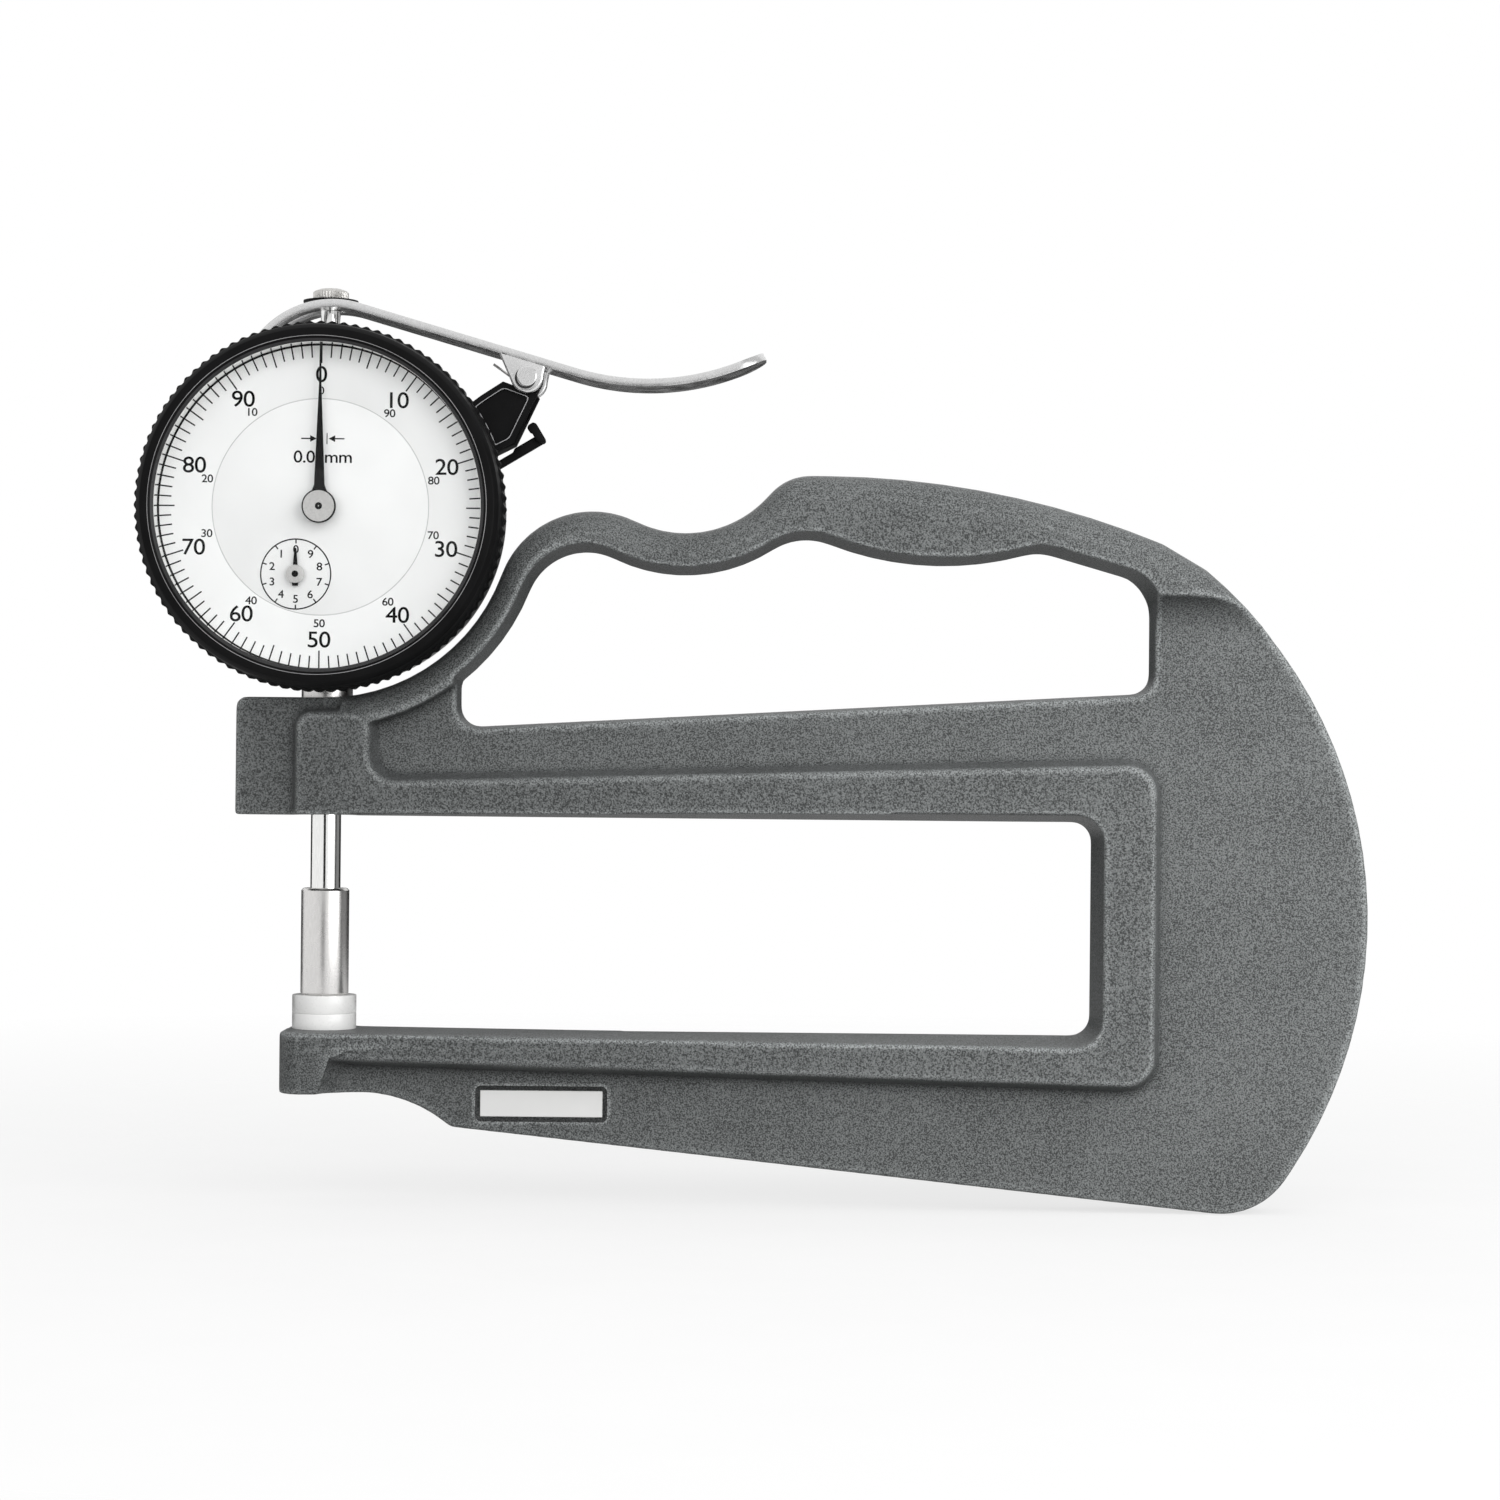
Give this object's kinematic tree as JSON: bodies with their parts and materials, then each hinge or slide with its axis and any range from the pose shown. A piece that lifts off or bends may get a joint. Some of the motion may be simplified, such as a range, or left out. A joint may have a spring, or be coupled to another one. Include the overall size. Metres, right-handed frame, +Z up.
{
  "type": "dial thickness gauge",
  "caption": "Hand-held dial thickness gauge: a deep-throat cast frame with a grip, a dial indicator with ceramic faces, and a thumb lever that lifts the spindle.",
  "frame": {"origin": "Centre of the anvil measuring face, on the spindle axis.", "axes": "+X runs into the throat and along the grip, +Z is up along the spindle, -Y is the dial side."},
  "size_m": [0.1914, 0.0264, 0.1433],
  "materials": {
    "frame_paint": "dark grey hammered paint",
    "plate_face": "bare pale satin plate",
    "ceramic_white": "lapped ceramic",
    "satin_steel": "ground satin steel",
    "blued_steel": "blued spring steel",
    "bright_nickel": "bright nickel plate",
    "case_satin": "satin chrome casting",
    "movement_brass": "brushed brass",
    "dial_white": "printed white dial",
    "bezel_black": "black satin moulding",
    "crystal_clear": "clear crystal",
    "hand_black": "black enamel"
  },
  "bodies": {
    "body": {"frame": "frame_paint", "label_plate": "plate_face", "anvil_tip": "ceramic_white", "anvil_shank": "satin_steel", "clamp_screw": "blued_steel", "clamp_pad": "movement_brass", "case": "case_satin", "stem": "satin_steel", "upper_bush": "satin_steel", "back_cover": "case_satin", "back_cover_screws": "satin_steel", "pin_guide": "movement_brass", "rear_plate": "movement_brass", "front_plate": "movement_brass", "plate_pillars": "satin_steel", "plate_screws": "blued_steel", "centre_dial": "dial_white", "hairspring": "blued_steel", "hairspring_stud": "movement_brass", "bezel_spring": "satin_steel", "plunger_spring": "satin_steel", "lever_holder": "bezel_black", "holder_screw": "blued_steel", "lever_spring": "satin_steel"},
    "spindle": {"plunger": "satin_steel", "guide_pin": "satin_steel", "contact_sleeve": "satin_steel", "contact_tip": "ceramic_white", "lift_washer": "blued_steel", "lift_cap": "bright_nickel"},
    "lever": {"lever": "bright_nickel", "pivot_pin": "bright_nickel"},
    "bezel": {"bezel": "bezel_black", "crystal": "crystal_clear", "spacer_ring": "bright_nickel", "scale_ring": "dial_white"},
    "pointer": {"pointer": "hand_black", "centre_arbor": "satin_steel"},
    "counter": {"counter_arbor": "satin_steel", "counter_gear": "movement_brass", "counter_hand": "hand_black"},
    "takeup": {"takeup_arbor": "satin_steel", "takeup_gear": "movement_brass"},
    "bezel_clamp": {"bezel_clamp": "bezel_black"}
  },
  "joints": [
    {"name": "spindle_slide", "type": "slide", "parent": "body", "child": "spindle", "axis": [0, 0, 1], "range_m": [0, 0.01], "stiffness_N_per_m": 60, "springref_m": -0.02, "deforming": ["plunger_spring"]},
    {"name": "lever_pivot", "type": "hinge", "parent": "body", "child": "lever", "pos_m": [0.03119, 0, 0.09949], "axis": [0, 1, 0], "range_deg": [0, 19], "deforming": ["lever_spring"]},
    {"name": "pointer_spin", "type": "hinge", "parent": "body", "child": "pointer", "pos_m": [0, 0, 0.0785], "axis": [0, 1, 0], "range_deg": [-5, 3605]},
    {"name": "counter_spin", "type": "hinge", "parent": "body", "child": "counter", "pos_m": [-0.00369, 0, 0.06814], "axis": [0, 1, 0], "range_deg": [-365, 5]},
    {"name": "takeup_spin", "type": "hinge", "parent": "body", "child": "takeup", "pos_m": [0.00369, 0, 0.08886], "axis": [0, 1, 0], "range_deg": [-365, 5], "deforming": ["hairspring"]},
    {"name": "bezel_turn", "type": "hinge", "parent": "body", "child": "bezel", "pos_m": [0, 0, 0.0785], "axis": [0, 1, 0], "continuous": true},
    {"name": "bezel_clamp_turn", "type": "hinge", "parent": "body", "child": "bezel_clamp", "pos_m": [0.0252, 0, 0.0854], "axis": [0.8572, 0, 0.515], "range_deg": [-35, 35]}
  ],
  "couplings": [
    {"joint": "lever_pivot", "follows": "spindle_slide", "rad_per_m": 32.5},
    {"joint": "pointer_spin", "follows": "spindle_slide", "rad_per_m": 6283.2},
    {"joint": "counter_spin", "follows": "spindle_slide", "rad_per_m": -628.32},
    {"joint": "takeup_spin", "follows": "spindle_slide", "rad_per_m": -628.32}
  ]
}
